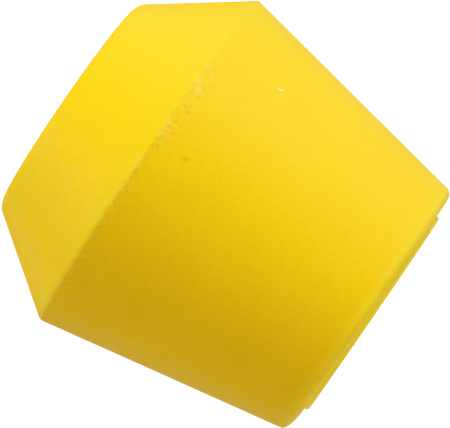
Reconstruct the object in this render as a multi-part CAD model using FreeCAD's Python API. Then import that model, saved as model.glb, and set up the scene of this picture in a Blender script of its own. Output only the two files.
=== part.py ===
"""Plug-set raised pavement marker, non-reflective, yellow.

A turned form: a tapered shank that drops into a cored hole, widest at road level, and a bevelled
crown that stands above the road. Two moulded shells meet at the widest place and are filled with
resin and sand. A base plug closes the shank's floor and lets a threaded anchor insert through,
whose pull is spread over the floor by a three-armed steel plate.

Frame: millimetres, +Z up through the crown, origin at the centre of the seat's underside.
Each piece is written as parts/NAME.step.
"""

import FreeCAD, Part
import math
import os

from FreeCAD import Vector

# ---- outer form -------------------------------------------------------------------------------
ridge_d = 50.0  # widest place, at road level
shank_h = 35.1  # seat's underside to the ridge
crown_h = 12.7  # ridge to the flat top
crown_bevel_deg = 36.1  # crown's side, measured from the axis
crown_edge_r = 2.2  # rounding round the flat top
base_shoulder = 3.6  # shank's foot beyond the seat, all round
base_edge_r = 1.2  # rounding round the foot
ridge_edge_r = 0.3  # edge break on the ridge
seat_proud = 0.5  # how far the seat stands below the shank's foot
seat_edge_r = 0.2  # edge break on the seat

# ---- shells -----------------------------------------------------------------------------------
shank_wall = 3.6
floor_t = 4.5
crown_wall = 3.5
crown_roof = 4.0
rib_count = 6  # in the shank, and again in the crown
rib_t = 1.6
shank_rib_reach = 3.4  # how far a shank rib stands in from the wall, at the floor
shank_rib_top_gap = 3.0  # shank ribs stop this far below the ledge
crown_rib_drop = 6.3  # crown ribs and hub, below the roof
crown_hub_r = 4.5
rib_root = 1.0  # how deep ribs, hub and posts run into the shell they stand on

# ---- crown joint: spigot, seal and snap -------------------------------------------------------
joint_rise = 0.5  # parting plane above the ridge
joint_ledge = 1.0  # step inside the shank's mouth
spigot_len = 5.5
spigot_wall = 3.0
spigot_edge_r = 0.4
spigot_gap = 0.05  # radial clearance in the shank's mouth
spigot_end_gap = 0.5  # free height under the spigot
crown_seal_depth = 1.2  # groove in the spigot
crown_seal_h = 1.8
crown_seal_up = 1.9  # ring's middle above the spigot's end
snap_proud = 0.3
snap_up = 4.4  # bead's middle above the spigot's end
snap_gap = 0.1
seal_side_gap = 0.1  # free height above and below either seal
seal_corner = 0.3  # rounding of a seal's section, as a share of its height

# ---- anchor thread and insert -----------------------------------------------------------------
thread_d = 10.0  # M10
thread_pitch = 1.5
thread_depth = 19.0
drill_tip_deg = 118.0
mouth_chamfer = 0.8
insert_wall = 2.0  # barrel beyond the thread's outside
insert_recess = 0.3  # insert's mouth above the seat's underside
insert_cap = 3.5  # closed end above the thread
insert_cap_edge_r = 1.5
insert_mouth_edge_r = 0.3
insert_gap = 0.1  # radial clearance in the plug and the plate
insert_seal_depth = 0.8  # groove in the plug's bore
insert_seal_h = 1.0
insert_seal_z = 1.2  # ring's middle above the seat's underside
hex_bearing = 1.5  # hexagon's flats beyond the barrel
hex_h = 5.0
hex_corner_cut = 1.1
hex_corner_drop = 0.7
key_groove_w = 1.6  # grooves that key the barrel to the filler
key_groove_d = 0.8
key_groove_places = (0.3, 0.68)  # along the barrel's free length

# ---- base plug, its seal and its screws -------------------------------------------------------
flange_t = 2.2
flange_gap = 0.15  # radial clearance of the flange in its recess
plug_wall = 1.9
plug_gap = 0.1  # radial clearance of the plug in the floor
plug_seal_depth = 0.9  # groove in the plug
plug_seal_h = 1.2
screw_count = 3
screw_d = 2.5
screw_len = 7.5
screw_head_d = 4.6
screw_recess = 0.15  # heads lie this far inside the seat's underside
screw_gap = 0.05  # clearance in the flange and the pilot holes
screw_web = 1.5  # wall between the floor's bore and a pilot hole
post_wall = 1.2
post_cap = 1.2  # closed end above a pilot hole
seat_rim = 0.85  # seat beyond the screw heads
cross_w = 0.5
cross_len = 2.6
cross_depth = 0.7
pocket_depth = 0.7  # adhesive pockets in the seat, one between each pair of screws
pocket_deg = 56.0
pocket_inner_rim = 0.2
pocket_outer_rim = 1.4
pocket_corner_r = 0.6

# ---- spreader plate ---------------------------------------------------------------------------
plate_t = 1.5
plate_arm_w = 6.0
plate_gap = 0.25  # to the posts and the shank's wall

# ---- worked out from the values above ---------------------------------------------------------
ridge_r = ridge_d / 2
bevel = math.tan(math.radians(crown_bevel_deg))
top_z = shank_h + crown_h
top_r = ridge_r - crown_h * bevel
joint_z = shank_h + joint_rise
joint_r = ridge_r - joint_rise * bevel
floor_z = seat_proud + floor_t
roof_z = top_z - crown_roof

thread_r = (thread_d - thread_pitch) / 2  # tapping size
thread_top_z = insert_recess + thread_depth
barrel_r = thread_d / 2 + insert_wall
barrel_hole_r = barrel_r + insert_gap
hex_af = 2 * (barrel_r + hex_bearing)
plug_r = barrel_hole_r + plug_wall
floor_bore_r = plug_r + plug_gap
pilot_r = screw_d / 2 + screw_gap
post_r = pilot_r + post_wall
screw_top_z = screw_recess + screw_len
screw_pitch_r = floor_bore_r + screw_web + pilot_r
seat_r = screw_pitch_r + screw_head_d / 2 + seat_rim
recess_r = seat_r + flange_gap
base_r = seat_r + base_shoulder
taper = (ridge_r - base_r) / (shank_h - seat_proud)

spigot_end_z = joint_z - spigot_len
ledge_z = spigot_end_z - spigot_end_gap
snap_z = spigot_end_z + snap_up
crown_seal_z = spigot_end_z + crown_seal_up
plug_seal_z = (flange_t + floor_z) / 2

screw_angles = [90 + 360 * i / screw_count for i in range(screw_count)]
between_screws = [angle + 180 / screw_count for angle in screw_angles]
rib_angles = [360 * i / rib_count for i in range(rib_count)]


def shank_inside(z):
    """Radius of the shank's cavity at height z."""
    return base_r + (z - seat_proud) * taper - shank_wall


def crown_inside(z):
    """Radius of the crown's cavity at height z, above its straight stretch."""
    across = crown_wall / math.cos(math.radians(crown_bevel_deg))
    return ridge_r - (z - shank_h) * bevel - across


mouth_r = shank_inside(ledge_z) + joint_ledge
spigot_r = mouth_r - spigot_gap
spigot_inner_r = spigot_r - spigot_wall
straight_top_z = joint_z + (crown_inside(joint_z) - spigot_inner_r) / bevel


# ---- making shapes ----------------------------------------------------------------------------
def turned(corners):
    """Solid turned about Z from corners, each (radius, height) or (radius, height, rounding)."""
    places = [Vector(corner[0], 0, corner[1]) for corner in corners]
    arcs, starts, ends = [], [], []
    for i, corner in enumerate(corners):
        here = places[i]
        start = end = here
        arc = None
        if len(corner) > 2:
            back = (places[i - 1] - here).normalize()
            onward = (places[(i + 1) % len(places)] - here).normalize()
            half = back.getAngle(onward) / 2
            start = here + back * (corner[2] / math.tan(half))
            end = here + onward * (corner[2] / math.tan(half))
            centre = here + (back + onward).normalize() * (corner[2] / math.sin(half))
            middle = centre + (here - centre).normalize() * corner[2]
            arc = Part.Arc(start, middle, end).toShape()
        starts.append(start)
        ends.append(end)
        arcs.append(arc)
    edges = []
    for i, arc in enumerate(arcs):
        if arc:
            edges.append(arc)
        edges.append(Part.LineSegment(ends[i], starts[(i + 1) % len(starts)]).toShape())
    return Part.Face(Part.Wire(edges)).revolve(Vector(0, 0, 0), Vector(0, 0, 1), 360)


def ring(inner_r, outer_r, low_z, high_z):
    return turned([(inner_r, low_z), (outer_r, low_z), (outer_r, high_z), (inner_r, high_z)])


def rod(radius, low_z, high_z, x=0.0):
    """Upright cylinder, its axis at x on the X axis."""
    return Part.makeCylinder(radius, high_z - low_z, Vector(x, 0, low_z))


def slab(width, reach, low_z, high_z):
    """Upright plate that runs out along +X from the axis."""
    return Part.makeBox(reach, width, high_z - low_z, Vector(0, -width / 2, low_z))


def around(shape, angles):
    """Copies of a shape, turned about the axis."""
    copies = []
    for angle in angles:
        copy = shape.copy()
        copy.rotate(Vector(0, 0, 0), Vector(0, 0, 1), angle)
        copies.append(copy)
    return copies


def one_solid(shape):
    """The single solid that a finished piece must be."""
    if len(shape.Solids) != 1:
        raise ValueError(f"a piece came out as {len(shape.Solids)} solids")
    return shape.Solids[0]


def seal_ring(groove_r, wall_r, middle_z, height):
    """Rubber ring between the floor of its groove and the wall that it seals against."""
    low_z = middle_z - height / 2
    high_z = middle_z + height / 2
    corner = seal_corner * height
    return turned([
        (groove_r, low_z, corner),
        (wall_r, low_z, corner),
        (wall_r, high_z, corner),
        (groove_r, high_z, corner),
    ])


def seal_groove(surface_r, depth, middle_z, height):
    """Corners of a seal's groove in a turned profile, from its lower lip to its upper one.

    The groove runs in towards the axis, or outwards where its depth is negative.
    """
    half = height / 2 + seal_side_gap
    return [
        (surface_r, middle_z - half),
        (surface_r - depth, middle_z - half),
        (surface_r - depth, middle_z + half),
        (surface_r, middle_z + half),
    ]


def countersunk(gap):
    """Head of a plug screw from its top face to its neck, grown all round by a clearance."""
    head_r = screw_head_d / 2 + gap
    neck_r = screw_d / 2 + gap
    neck_z = screw_recess + head_r - neck_r
    return turned([(0, screw_recess), (head_r, screw_recess), (neck_r, neck_z), (0, neck_z)])


# ---- pieces -----------------------------------------------------------------------------------
def shank_ribs():
    """Ribs that key the filler to the shank's wall and lean with it."""
    low_z = floor_z - rib_root
    high_z = ledge_z - shank_rib_top_gap
    blank = turned([
        (shank_inside(low_z) - shank_rib_reach, low_z),
        (shank_inside(low_z) + rib_root, low_z),
        (shank_inside(high_z) + rib_root, high_z),
        (shank_inside(high_z) - shank_rib_reach / 2, high_z),
    ])
    return around(blank.common(slab(rib_t, ridge_r, low_z, high_z)), rib_angles)


def make_shank_body():
    """Tapered cup: open above the ridge, with a recess and a bore for the base plug below."""
    cup = turned([
        (recess_r, seat_proud),
        (base_r, seat_proud, base_edge_r),
        (ridge_r, shank_h, ridge_edge_r),
        (joint_r, joint_z),
        (mouth_r, joint_z),
        (mouth_r, ledge_z),
        (shank_inside(ledge_z), ledge_z),
        (shank_inside(floor_z), floor_z),
        (floor_bore_r, floor_z),
        (floor_bore_r, flange_t),
        (recess_r, flange_t),
    ])
    post = rod(post_r, floor_z - rib_root, screw_top_z + post_cap, screw_pitch_r)
    pilot = rod(pilot_r, flange_t, screw_top_z + screw_gap, screw_pitch_r)
    snap_groove = turned([
        (mouth_r, snap_z - snap_proud - snap_gap),
        (mouth_r + snap_proud + snap_gap, snap_z),
        (mouth_r, snap_z + snap_proud + snap_gap),
    ])
    body = cup.multiFuse(around(post, screw_angles) + shank_ribs()).removeSplitter()
    return one_solid(body.cut(around(pilot, screw_angles) + [snap_groove]))


def make_crown_cap():
    """Bevelled cap with a spigot for the shank's mouth, and ribs and a hub under its roof."""
    cap = turned([
        (0, top_z),
        (top_r, top_z, crown_edge_r),
        (joint_r, joint_z),
        (spigot_r, joint_z),
        (spigot_r, snap_z + snap_proud),
        (spigot_r + snap_proud, snap_z),
        (spigot_r, snap_z - snap_proud),
        *reversed(seal_groove(spigot_r, crown_seal_depth, crown_seal_z, crown_seal_h)),
        (spigot_r, spigot_end_z, spigot_edge_r),
        (spigot_inner_r, spigot_end_z, spigot_edge_r),
        (spigot_inner_r, straight_top_z),
        (crown_inside(roof_z), roof_z),
        (0, roof_z),
    ])
    low_z = roof_z - crown_rib_drop
    high_z = roof_z + rib_root
    under_roof = turned([
        (0, low_z),
        (spigot_inner_r + rib_root, low_z),
        (spigot_inner_r + rib_root, straight_top_z),
        (crown_inside(roof_z) + rib_root, roof_z),
        (crown_inside(roof_z) + rib_root, high_z),
        (0, high_z),
    ])
    rib = under_roof.common(slab(rib_t, ridge_r, low_z, high_z))
    hub = rod(crown_hub_r, low_z, high_z)
    return one_solid(cap.multiFuse([hub] + around(rib, rib_angles)).removeSplitter())


def make_crown_seal():
    return seal_ring(spigot_r - crown_seal_depth, mouth_r, crown_seal_z, crown_seal_h)


def make_base_plug():
    """Flanged bush that closes the shank's floor; its flange is the seat the marker stands on."""
    plug = turned([
        (barrel_hole_r, 0),
        (seat_r, 0, seat_edge_r),
        (seat_r, flange_t),
        (plug_r, flange_t),
        *seal_groove(plug_r, plug_seal_depth, plug_seal_z, plug_seal_h),
        (plug_r, floor_z),
        (barrel_hole_r, floor_z),
        *reversed(seal_groove(barrel_hole_r, -insert_seal_depth, insert_seal_z, insert_seal_h)),
    ])
    screw_hole = rod(pilot_r, 0, flange_t).multiFuse([
        countersunk(screw_gap),
        rod(screw_head_d / 2 + screw_gap, 0, screw_recess),
    ])
    screw_hole.translate(Vector(screw_pitch_r, 0, 0))
    pocket = Part.makeCylinder(
        seat_r - pocket_outer_rim, pocket_depth, Vector(0, 0, 0), Vector(0, 0, 1), pocket_deg
    )
    pocket.rotate(Vector(0, 0, 0), Vector(0, 0, 1), -pocket_deg / 2)
    pocket = pocket.cut(rod(plug_r + pocket_inner_rim, 0, pocket_depth))
    upright = [edge for edge in pocket.Edges if abs(edge.tangentAt(edge.FirstParameter).z) > 0.9]
    pocket = pocket.makeFillet(pocket_corner_r, upright)
    return one_solid(plug.cut(around(screw_hole, screw_angles) + around(pocket, between_screws)))


def make_plug_seal():
    return seal_ring(plug_r - plug_seal_depth, floor_bore_r, plug_seal_z, plug_seal_h)


def make_insert_seal():
    return seal_ring(barrel_r, barrel_hole_r + insert_seal_depth, insert_seal_z, insert_seal_h)


def make_plug_screws():
    """Countersunk thread-forming screws with a cross recess, driven up from the seat."""
    shaft = turned([
        (0, screw_recess),
        (screw_d / 2, screw_recess),
        (screw_d / 2, screw_top_z - screw_d / 2),
        (screw_d / 5, screw_top_z),
        (0, screw_top_z),
    ])
    arm = Part.makeBox(
        cross_len, cross_w, cross_depth, Vector(-cross_len / 2, -cross_w / 2, screw_recess)
    )
    screw = one_solid(shaft.fuse(countersunk(0)).removeSplitter().cut(around(arm, (0, 90))))
    screw.translate(Vector(screw_pitch_r, 0, 0))
    return Part.makeCompound(around(screw, screw_angles))


def make_anchor_insert():
    """Closed steel nut: a barrel through plug and plate, and a hexagon that bears on the plate."""
    hex_low_z = floor_z + plate_t
    hex_top_z = hex_low_z + hex_h
    cap_z = thread_top_z + insert_cap
    corners = [(0, insert_recess), (barrel_r, insert_recess, insert_mouth_edge_r)]
    for place in key_groove_places:
        middle = hex_top_z + (cap_z - hex_top_z) * place
        corners += [
            (barrel_r, middle - key_groove_w / 2),
            (barrel_r - key_groove_d, middle - (key_groove_w - key_groove_d) / 2),
            (barrel_r - key_groove_d, middle + (key_groove_w - key_groove_d) / 2),
            (barrel_r, middle + key_groove_w / 2),
        ]
    corners += [(barrel_r, cap_z, insert_cap_edge_r), (0, cap_z)]
    corner_r = hex_af / 2 / math.cos(math.radians(30))
    hexagon = Part.makePolygon([
        Vector(corner_r * math.cos(i * math.pi / 3), corner_r * math.sin(i * math.pi / 3), hex_low_z)
        for i in range(7)
    ])
    prism = Part.Face(hexagon).extrude(Vector(0, 0, hex_h))
    corner_cut = turned([
        (0, hex_low_z),
        (corner_r, hex_low_z),
        (corner_r, hex_top_z - hex_corner_drop),
        (corner_r - hex_corner_cut, hex_top_z),
        (0, hex_top_z),
    ])
    bore = turned([
        (0, insert_recess),
        (thread_r + mouth_chamfer, insert_recess),
        (thread_r, insert_recess + mouth_chamfer),
        (thread_r, thread_top_z),
        (0, thread_top_z + thread_r / math.tan(math.radians(drill_tip_deg / 2))),
    ])
    return one_solid(turned(corners).fuse(prism.common(corner_cut)).removeSplitter().cut(bore))


def make_spreader_plate():
    """Ring round the insert, on the shank's floor, with an arm between each pair of posts."""
    top_z = floor_z + plate_t
    disc = rod(screw_pitch_r - post_r - plate_gap, floor_z, top_z)
    arm = slab(plate_arm_w, ridge_r, floor_z, top_z)
    arm = arm.common(rod(shank_inside(floor_z) - plate_gap, floor_z, top_z))
    plate = disc.multiFuse(around(arm, between_screws)).removeSplitter()
    return one_solid(plate.cut(rod(barrel_hole_r, floor_z, top_z)))


def make_filler_core(cast_round):
    """Resin and sand that fill both shells; the holes inside other pieces stay empty."""
    cavity = turned([
        (0, floor_z),
        (shank_inside(floor_z), floor_z),
        (shank_inside(ledge_z), ledge_z),
        (spigot_inner_r, ledge_z),
        (spigot_inner_r, straight_top_z),
        (crown_inside(roof_z), roof_z),
        (0, roof_z),
    ])
    return max(cavity.cut(cast_round).Solids, key=lambda solid: solid.Volume)


def main():
    pieces = {
        "shank_body": make_shank_body(),
        "crown_cap": make_crown_cap(),
        "crown_seal": make_crown_seal(),
        "base_plug": make_base_plug(),
        "plug_seal": make_plug_seal(),
        "insert_seal": make_insert_seal(),
        "plug_screws": make_plug_screws(),
        "anchor_insert": make_anchor_insert(),
        "spreader_plate": make_spreader_plate(),
    }
    cast_round = ("shank_body", "crown_cap", "anchor_insert", "spreader_plate")
    pieces["filler_core"] = make_filler_core([pieces[name] for name in cast_round])
    os.makedirs("parts", exist_ok=True)
    for name, shape in pieces.items():
        shape.exportStep(f"parts/{name}.step")
        print(f"{name}: {shape.Volume:.1f} mm3, solids {len(shape.Solids)}, valid {shape.isValid()}")
    print(f"seat {2 * seat_r:.2f}, foot {2 * base_r:.2f}, top {2 * top_r:.2f}, height {top_z:.2f}")


main()
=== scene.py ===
"""Looks of the plug-set raised pavement marker, built round its CAD frame. Metres, +Z up."""

import math
import random

import bmesh
import bpy
from mathutils import Matrix, Vector, noise


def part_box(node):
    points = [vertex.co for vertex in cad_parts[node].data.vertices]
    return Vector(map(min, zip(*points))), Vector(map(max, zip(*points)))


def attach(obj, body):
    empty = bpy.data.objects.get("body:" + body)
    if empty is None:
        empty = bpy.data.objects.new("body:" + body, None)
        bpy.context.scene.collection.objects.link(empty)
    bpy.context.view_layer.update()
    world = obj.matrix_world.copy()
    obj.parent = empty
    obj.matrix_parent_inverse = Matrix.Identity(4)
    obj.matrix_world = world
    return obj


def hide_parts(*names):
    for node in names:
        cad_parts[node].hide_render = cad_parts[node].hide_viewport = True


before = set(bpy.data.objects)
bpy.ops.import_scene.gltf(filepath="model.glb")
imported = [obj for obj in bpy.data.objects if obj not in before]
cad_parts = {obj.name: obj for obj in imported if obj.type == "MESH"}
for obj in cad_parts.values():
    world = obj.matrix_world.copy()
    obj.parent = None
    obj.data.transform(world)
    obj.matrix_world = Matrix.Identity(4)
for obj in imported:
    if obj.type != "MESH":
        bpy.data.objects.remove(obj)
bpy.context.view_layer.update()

MM = 0.001

# ---- sizes, from the CAD frame where it has them ----------------------------------------------
crown_low, crown_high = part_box("crown_cap")
shank_low, shank_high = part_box("shank_body")
plug_low, plug_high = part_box("base_plug")
insert_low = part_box("anchor_insert")[0]
screws_low, screws_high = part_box("plug_screws")

SEGMENTS = 256
WELD = 0.001 * MM  # points nearer than this are one
SLIVER = 0.0002 * MM  # faces and edges smaller than this are taken away
SHARP_DEG = 25  # edges sharper than this aren't shaded smooth

TOP_Z = crown_high.z
JOINT_Z = shank_high.z
FOOT_Z = shank_low.z
RIDGE_R = (shank_high.x - shank_low.x) / 2
SEAT_R = (plug_high.x - plug_low.x) / 2
FLOOR_TOP_Z = plug_high.z
SPIGOT_END_Z = crown_low.z

# outer form
BEVEL_DEG = 36.1  # crown's side, from the axis
BEVEL = math.tan(math.radians(BEVEL_DEG))
JOINT_RISE = 0.5 * MM  # joint above the ridge
RIDGE_Z = JOINT_Z - JOINT_RISE
JOINT_R = RIDGE_R - JOINT_RISE * BEVEL
TOP_R = RIDGE_R - (TOP_Z - RIDGE_Z) * BEVEL
FOOT_STEP = 3.6 * MM  # foot beyond the seat
FOOT_R = SEAT_R + FOOT_STEP
TAPER = (RIDGE_R - FOOT_R) / (RIDGE_Z - FOOT_Z)
TAPER_DEG = math.degrees(math.atan(TAPER))
TOP_ROUND = 2.2 * MM
FOOT_ROUND = 1.2 * MM
SEAT_ROUND = 0.35 * MM
RIDGE_ROUND = 0.3 * MM  # where the ridge is crisp
RIDGE_WORN_ROUND = 1.0 * MM  # where it is worn, on the -X side
FOOT_WORN_ACROSS = 3.5 * MM  # the foot's soft rounding on the -X side
FOOT_WORN_RISE = 1.2 * MM
FOOT_RING_IN = 1.1 * MM  # a ring of points this far in from the foot's edge
RIDGE_RINGS = (0.6, 0.4, 0.25)  # rings of points below the ridge, in mm, for its wear to bend
RIDGE_WORN_MOST = 0.1 * MM  # depth of the wear at the ridge
UNEVEN = 0.02 * MM  # slow waves in the moulded skin
UNEVEN_SIZE = 5 * MM
CROWN_SKIN_DEEP = 1.5 * MM  # points deeper than this aren't on the outer skin
SHANK_SKIN_DEEP = 1 * MM

# shells
SHANK_WALL = 3.6 * MM
CROWN_ROOF = 4.0 * MM
CROWN_WALL = 3.5 * MM / math.cos(math.radians(BEVEL_DEG))
RIB_COUNT = 6
RIB_T = 1.6 * MM
RIB_ROOT = 1.0 * MM
SHANK_RIB_REACH = 3.4 * MM
SHANK_RIB_DROP = 3 * MM  # its top below the ledge
CROWN_RIB_DROP = 6.3 * MM
HUB_R = 4.5 * MM
LEDGE = 1.0 * MM
LEDGE_Z = SPIGOT_END_Z - 0.5 * MM
SPIGOT_GAP = 0.05 * MM
SPIGOT_WALL = 3.0 * MM
SPIGOT_ROUND = 0.4 * MM
CROWN_SEAL_Z = SPIGOT_END_Z + 1.9 * MM
CROWN_SEAL_HALF = 1.0 * MM
CROWN_SEAL_DEPTH = 1.2 * MM
SNAP_Z = SPIGOT_END_Z + 4.4 * MM
SNAP_PROUD = 0.3 * MM
SNAP_GAP = 0.1 * MM

# seat, plug and screws
FLANGE_T = 2.2 * MM
RECESS_R = SEAT_R + 0.15 * MM
PLUG_R = 9.0 * MM
FLOOR_BORE_R = PLUG_R + 0.1 * MM
BARREL_HOLE_R = 7.1 * MM
PLUG_SEAL_Z = (FLANGE_T + FLOOR_TOP_Z) / 2
PLUG_SEAL_HALF = 0.7 * MM
PLUG_SEAL_DEPTH = 0.9 * MM
INSERT_SEAL_Z = 1.2 * MM
INSERT_SEAL_HALF = 0.6 * MM
INSERT_SEAL_DEPTH = 0.8 * MM
SCREW_ANGLES = (90, 210, 330)
BETWEEN_SCREWS = (150, 270, 30)
SCREW_R = 1.25 * MM
SCREW_HEAD_R = 2.3 * MM
SCREW_GAP = 0.05 * MM
SCREW_LOW_Z = screws_low.z
SCREW_TOP_Z = screws_high.z
SCREW_PITCH_R = screws_high.y - SCREW_HEAD_R
SCREW_THREAD = 0.9 * MM  # its pitch
PILOT_R = SCREW_R + SCREW_GAP
POST_R = PILOT_R + 1.2 * MM
POST_TOP_Z = SCREW_TOP_Z + 1.2 * MM
POST_EDGE = 0.3 * MM
SCREW_HEAD_EDGE = 0.12 * MM
SCREW_TIP_R = SCREW_R * 0.4
SCREW_THREAD_DEPTH = 0.3 * MM
CROSS_W = 0.5 * MM
CROSS_LEN = 2.6 * MM
CROSS_DEPTH = 0.7 * MM
CROSS_TAPER = 0.9  # length of its bottom, as a share of its mouth's
POCKET_DEG = 56
POCKET_DEPTH = 0.7 * MM
POCKET_INNER_R = PLUG_R + 0.2 * MM
POCKET_OUTER_R = SEAT_R - 1.4 * MM
POCKET_ROUND = 0.6 * MM

# anchor thread, M10
THREAD_R = 5.0 * MM
THREAD_BORE_R = 4.25 * MM
THREAD_PITCH = 1.5 * MM
THREAD_LENGTH = 19 * MM
THREAD_TOP_Z = insert_low.z + THREAD_LENGTH
THREAD_LEAD = 0.4 * THREAD_PITCH  # how far below the mouth the cut starts
THREAD_SHORT = 0.05 * MM  # root's radius less than the nominal one
THREAD_OVERCUT = 0.1 * MM  # how far any thread's cutter stands out of the metal
THREAD_FLANK_DEG = 30  # of any thread, from square to its axis
THREAD_STEPS = 40  # in one turn

# ---- studio -----------------------------------------------------------------------------------
# name, azimuth, elevation, distance, size, strength
LAMPS = (
    ("key_low", 55, 12, 0.6, 0.35, 7.8),
    ("key_high", 50, 50, 0.6, 0.35, 0.8),
    ("overhead", 0, 89, 0.7, 0.5, 0.35),
    ("top_left", -88, 70, 0.6, 0.35, 6.2),
    ("front", 0, 20, 0.6, 0.35, 1.5),
    ("back_right", 120, 20, 0.6, 0.35, 1.5),
    ("back_left", -130, 25, 0.6, 0.35, 1.1),
)
WORLD_FILL = 0.17
FLOOR_GLOW = 0.60  # lights the marker evenly from below, under its foot too
FLOOR_BOUNCE = 0.12  # how much light the floor throws back on the marker
FLOOR_DROP = 0.05 * MM  # floor below the seat, so that the two never share a plane
FLOOR_SEEN = 0.12  # how it looks to the camera: nearly white, with a hint of shadow
FLOOR_SEEN_GLOW = 1.35
BACKDROP_SEEN = 1.6
# the camera's response: brightness in the scene, and in the render
RESPONSE = (
    (0.0, 0.0),
    (0.55, 0.55),
    (0.70, 0.68),
    (0.83, 0.765),
    (0.93, 0.83),
    (1.02, 0.89),
    (1.10, 0.94),
    (1.35, 1.0),
)
CAMERA_SENSOR = 36  # its width, in mm as the lens is
CAMERA_LENS = 414.7
CAMERA_PLACE = Vector((0, -0.669, 0.00683))
CAMERA_TARGET = Vector((-0.00019, 0, 0.02315))
CAMERA_LEAN_DEG = 55.53  # the marker leans to the left by this much in the view


# ---- modelling helpers ------------------------------------------------------------------------
def deselect_all():
    if bpy.context.mode != "OBJECT":
        bpy.ops.object.mode_set(mode="OBJECT")
    bpy.ops.object.select_all(action="DESELECT")


def choose(*pieces):
    """Selects only these pieces, the first one active."""
    deselect_all()
    for piece in pieces:
        piece.select_set(True)
    bpy.context.view_layer.objects.active = pieces[0]


def open_edit(piece):
    choose(piece)
    bpy.ops.object.mode_set(mode="EDIT")


def close_edit():
    bpy.ops.object.mode_set(mode="OBJECT")


def named(piece, name):
    piece.name = name
    piece.data.name = name
    return piece


def start_at_point(name, place):
    """A new piece in edit mode that is one selected point."""
    deselect_all()
    bpy.ops.mesh.primitive_plane_add(size=MM)
    piece = named(bpy.context.active_object, name)
    bpy.ops.object.mode_set(mode="EDIT")
    bpy.ops.mesh.select_mode(type="VERT")
    bpy.ops.mesh.select_all(action="SELECT")
    bpy.ops.mesh.merge(type="CENTER")
    bpy.ops.transform.translate(value=place)
    return piece


def draw_section(name, corners, closed, shift=0.0):
    """A new piece in edit mode: an outline drawn point by point from (radius, height)."""
    piece = start_at_point(name, (corners[0][0], shift, corners[0][1]))
    stops = list(corners) + ([corners[0]] if closed else [])
    for (r0, z0), (r1, z1) in zip(stops, stops[1:]):
        bpy.ops.mesh.extrude_region_move(TRANSFORM_OT_translate={"value": (r1 - r0, 0, z1 - z0)})
    bpy.ops.mesh.select_all(action="SELECT")
    bpy.ops.mesh.remove_doubles(threshold=WELD)
    return piece


def close_surface():
    """Merges what coincides and turns every face outwards."""
    bpy.ops.mesh.select_all(action="SELECT")
    bpy.ops.mesh.remove_doubles(threshold=WELD)
    bpy.ops.mesh.normals_make_consistent(inside=False)


def spin_section(name, corners, closed=False, steps=SEGMENTS):
    """A turned piece in edit mode, spun from its half section."""
    piece = draw_section(name, corners, closed)
    bpy.ops.mesh.spin(steps=steps, angle=2 * math.pi, center=(0, 0, 0), axis=(0, 0, 1))
    close_surface()
    return piece


def slab(name, corners, thickness):
    """An upright plate in the XZ plane, as thick along Y as it says."""
    piece = draw_section(name, corners, True, -thickness / 2)
    bpy.ops.mesh.edge_face_add()
    bpy.ops.mesh.extrude_region_move(TRANSFORM_OT_translate={"value": (0, thickness, 0)})
    close_surface()
    close_edit()
    return piece


def rod(name, radius, low_z, high_z, x=0.0, edge=0.0, sides=64):
    """An upright pin on the X axis, its top edge broken."""
    deselect_all()
    bpy.ops.mesh.primitive_cylinder_add(
        vertices=sides, radius=radius, depth=high_z - low_z, location=(x, 0, (low_z + high_z) / 2)
    )
    piece = named(bpy.context.active_object, name)
    bpy.ops.object.transform_apply(location=True)
    if edge:
        open_edit(piece)
        select_where(piece, "FACE", lambda face: face.normal.z > 0.9)
        bpy.ops.mesh.bevel(offset=edge, segments=3, affect="EDGES")
        close_edit()
    return piece


def select_where(piece, kind, chosen):
    """Selects the faces or edges of a piece in edit mode that a test picks out."""
    bpy.ops.mesh.select_mode(type=kind)
    bpy.ops.mesh.select_all(action="DESELECT")
    mesh = bmesh.from_edit_mesh(piece.data)
    for part in (mesh.faces if kind == "FACE" else mesh.edges):
        part.select_set(chosen(part))
    mesh.select_flush_mode()
    bmesh.update_edit_mesh(piece.data)


def round_ring(piece, radius, height, setback, steps):
    """Rounds the edge on that circle, starting at a distance from it on each side."""
    def on_ring(edge):
        return all(
            abs(point.co.xy.length - radius) < 2 * WELD and abs(point.co.z - height) < 2 * WELD
            for point in edge.verts
        )
    select_where(piece, "EDGE", on_ring)
    bpy.ops.mesh.bevel(offset=setback, segments=steps, profile=0.5, affect="EDGES")


def setback(rounding, degrees_between_faces):
    """Distance from a corner to where a rounding of that radius starts."""
    return rounding / math.tan(math.radians(degrees_between_faces) / 2)


def between(start, end, count):
    """The points that divide a straight stretch of an outline, without its ends."""
    return [
        (start[0] + (end[0] - start[0]) * i / count, start[1] + (end[1] - start[1]) * i / count)
        for i in range(1, count)
    ]


def apply_modifiers(piece):
    choose(piece)
    for name in [change.name for change in piece.modifiers]:
        bpy.ops.object.modifier_apply(modifier=name)


def combine(piece, tool, operation):
    """Cuts a tool out of a piece, or unites the two; the tool is used up."""
    change = piece.modifiers.new(operation.lower(), "BOOLEAN")
    change.operation = operation
    change.solver = "EXACT"
    change.object = tool
    apply_modifiers(piece)
    bpy.data.objects.remove(tool)
    open_edit(piece)
    bpy.ops.mesh.select_all(action="SELECT")
    bpy.ops.mesh.dissolve_degenerate(threshold=SLIVER)
    close_edit()


def copy_of(piece):
    """A copy with its own mesh."""
    copy = piece.copy()
    copy.data = piece.data.copy()
    bpy.context.scene.collection.objects.link(copy)
    return copy


def around(piece, angles):
    """Copies of a piece turned about the axis, joined; the piece itself is used up."""
    name = piece.name
    copies = []
    for angle in angles:
        copy = copy_of(piece)
        copy.rotation_euler.z = math.radians(angle)
        copies.append(copy)
    bpy.data.objects.remove(piece)
    choose(*copies)
    bpy.ops.object.transform_apply(rotation=True)
    bpy.ops.object.join()
    return named(copies[0], name)


def smooth_step(value, start, end):
    """0 before start, 1 past end, and an even slope between."""
    share = min(1.0, max(0.0, (value - start) / (end - start)))
    return share * share * (3 - 2 * share)


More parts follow.
